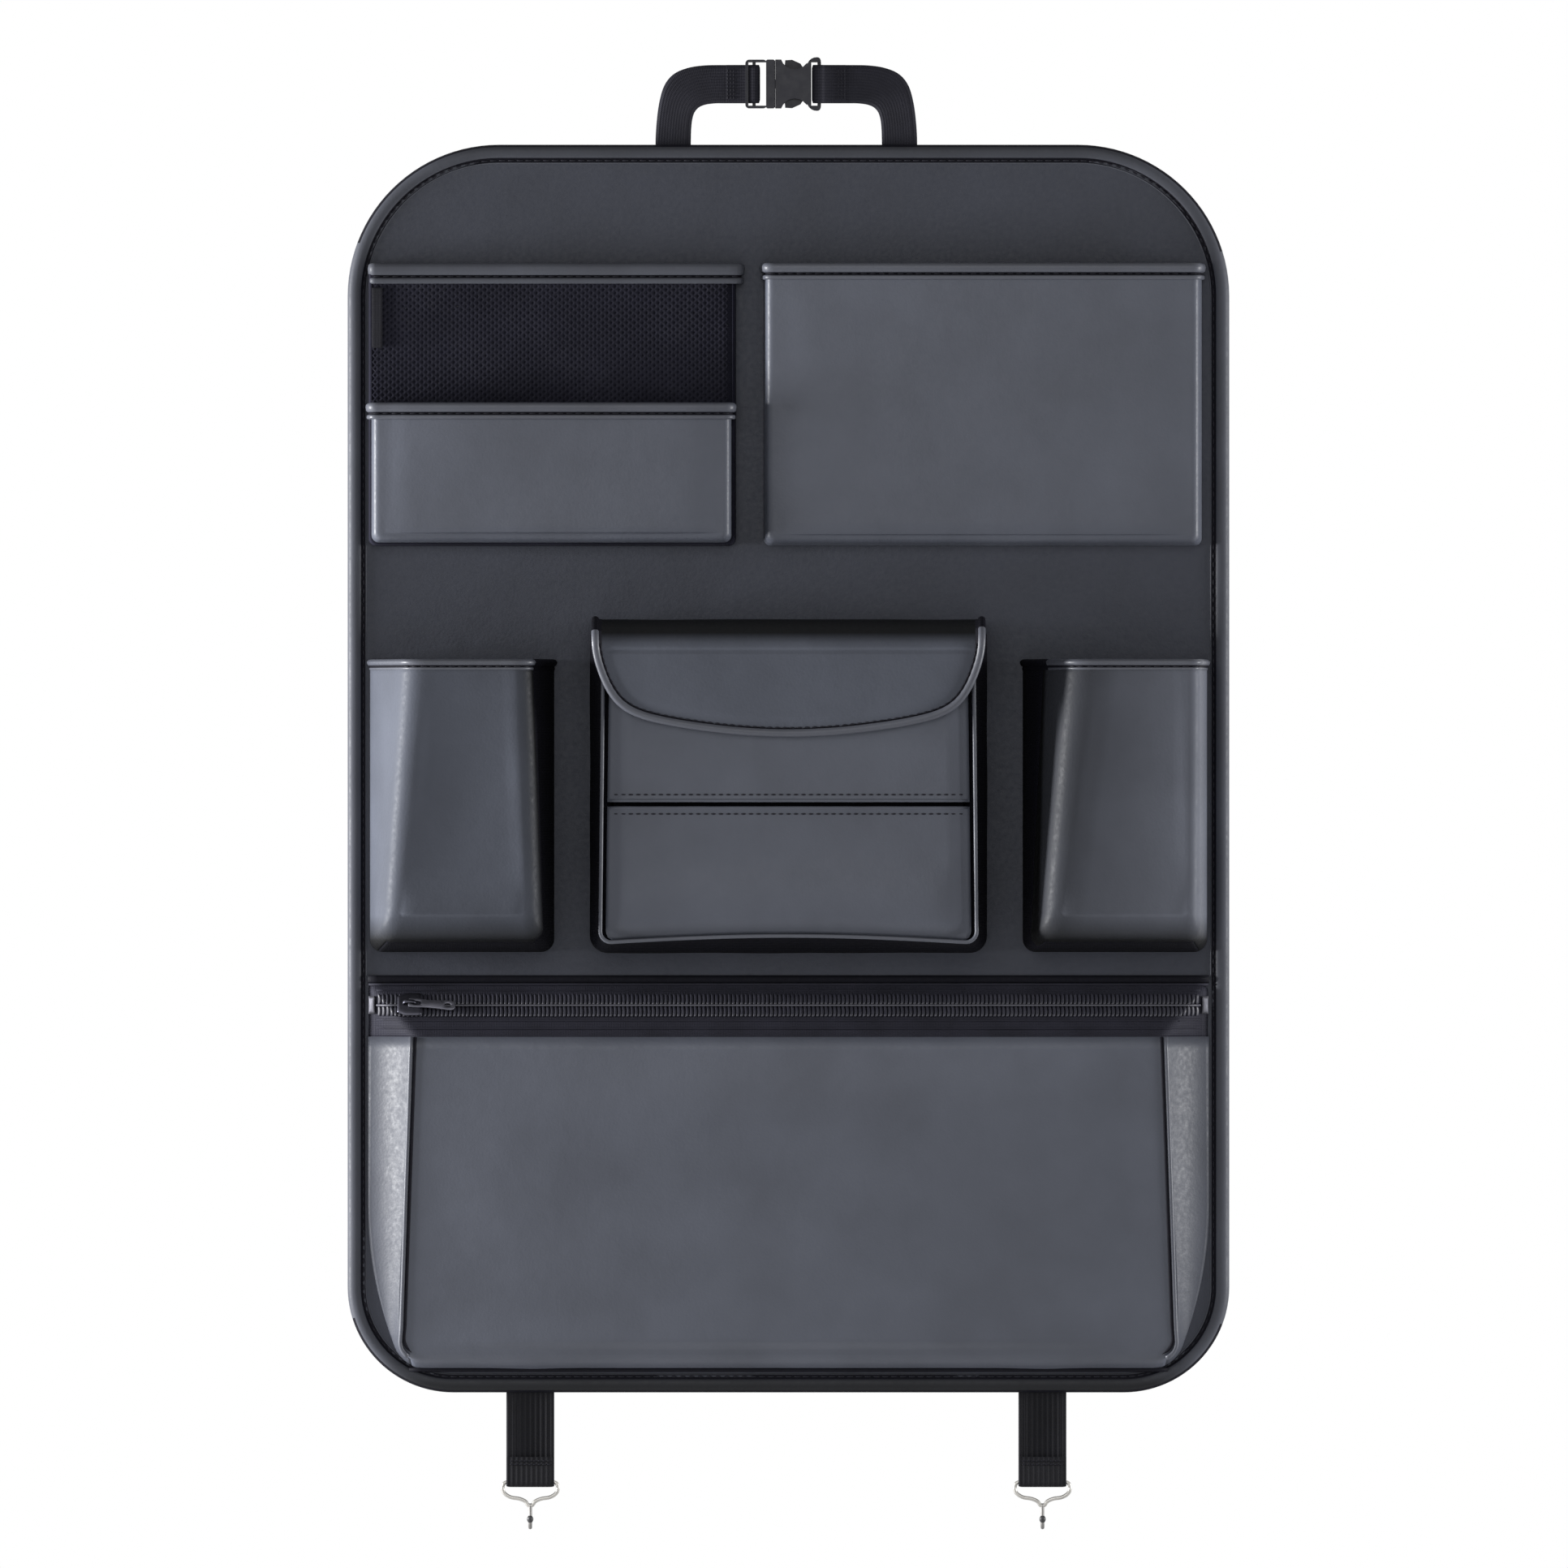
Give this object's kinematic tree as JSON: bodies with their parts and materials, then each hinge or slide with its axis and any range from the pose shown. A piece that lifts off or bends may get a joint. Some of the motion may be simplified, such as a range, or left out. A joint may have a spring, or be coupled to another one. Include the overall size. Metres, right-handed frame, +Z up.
{
  "type": "car seat back organizer",
  "caption": "Hanging leatherette panel with sewn pockets, a flap pocket, a zipped pocket, a buckled top strap and hooked elastic straps.",
  "frame": {"origin": "middle of the panel's back face, which lies on the back of the seat", "axes": "+X to the right and +Z up as seen from the rear seat, +Y from the pockets towards the seat; the pockets face -Y"},
  "size_m": [0.46, 0.0587, 0.7679],
  "materials": {
    "cover_leather": "fine grained, satin",
    "pocket_leather": "smooth, satin",
    "binding_leather": "smooth, satin",
    "gusset_fabric": "matt black",
    "mesh_fabric": "fine open mesh",
    "lining_fabric": "matt non-woven",
    "board": "plain stiffener",
    "webbing": "ribbed weave",
    "label_fabric": "plain woven",
    "zip_plastic": "satin nylon",
    "slider_metal": "dark plated, satin",
    "buckle_plastic": "moulded, satin",
    "hook_wire": "nickel plated"
  },
  "bodies": {
    "organizer": {"back_lining": "lining_fabric", "inner_board": "board", "front_panel": "cover_leather", "edge_binding": "binding_leather", "mesh_pocket": "mesh_fabric", "mesh_pocket_hem": "binding_leather", "slim_pocket": "pocket_leather", "slim_pocket_hem": "binding_leather", "side_label": "label_fabric", "tablet_pocket": "pocket_leather", "tablet_pocket_hem": "binding_leather", "left_cup_pocket": "pocket_leather", "left_cup_gusset": "gusset_fabric", "left_cup_hem": "binding_leather", "right_cup_pocket": "pocket_leather", "right_cup_gusset": "gusset_fabric", "right_cup_hem": "binding_leather", "tissue_gusset": "gusset_fabric", "tissue_piping": "binding_leather", "tissue_front_upper": "pocket_leather", "tissue_front_lower": "pocket_leather", "tissue_flap": "pocket_leather", "flap_piping": "binding_leather", "fastener_loop_patch": "lining_fabric", "fastener_hook_patch": "lining_fabric", "zip_pocket_front": "pocket_leather", "zip_gusset_left": "pocket_leather", "zip_gusset_right": "pocket_leather", "zip_tape_upper": "webbing", "zip_tape_lower": "webbing", "zip_coil_upper": "zip_plastic", "zip_coil_lower": "zip_plastic", "zip_welt": "webbing", "zip_stop_left": "slider_metal", "zip_stop_right": "slider_metal", "top_strap_left": "webbing", "top_strap_right": "webbing", "buckle_socket": "buckle_plastic", "elastic_strap_left": "webbing", "elastic_strap_right": "webbing"},
    "slider": {"zip_slider": "slider_metal"},
    "pull": {"zip_pull": "slider_metal"},
    "plug": {"buckle_plug": "buckle_plastic", "buckle_arm_upper": "buckle_plastic", "buckle_arm_lower": "buckle_plastic"},
    "left_hook": {"hook_left": "hook_wire"},
    "right_hook": {"hook_right": "hook_wire"}
  },
  "joints": [
    {"name": "zip_slide", "type": "slide", "parent": "organizer", "child": "slider", "axis": [1, 0, 0], "range_m": [0, 0.395]},
    {"name": "zip_pull_swing", "type": "hinge", "parent": "slider", "child": "pull", "pos_m": [-0.1976, -0.0159, -0.122], "axis": [0, -0.5704, -0.8213], "range_deg": [0, 170]},
    {"name": "buckle_release", "type": "slide", "parent": "organizer", "child": "plug", "axis": [-1, 0, 0], "range_m": [0, 0.018], "deforming": ["top_strap_left", "buckle_arm_upper", "buckle_arm_lower"]},
    {"name": "hook_left_swing", "type": "hinge", "parent": "organizer", "child": "left_hook", "pos_m": [-0.1347, -0.00315, -0.3722], "axis": [1, 0, 0], "range_deg": [-120, 120]},
    {"name": "hook_right_swing", "type": "hinge", "parent": "organizer", "child": "right_hook", "pos_m": [0.1325, -0.00315, -0.3722], "axis": [1, 0, 0], "range_deg": [-120, 120]}
  ]
}
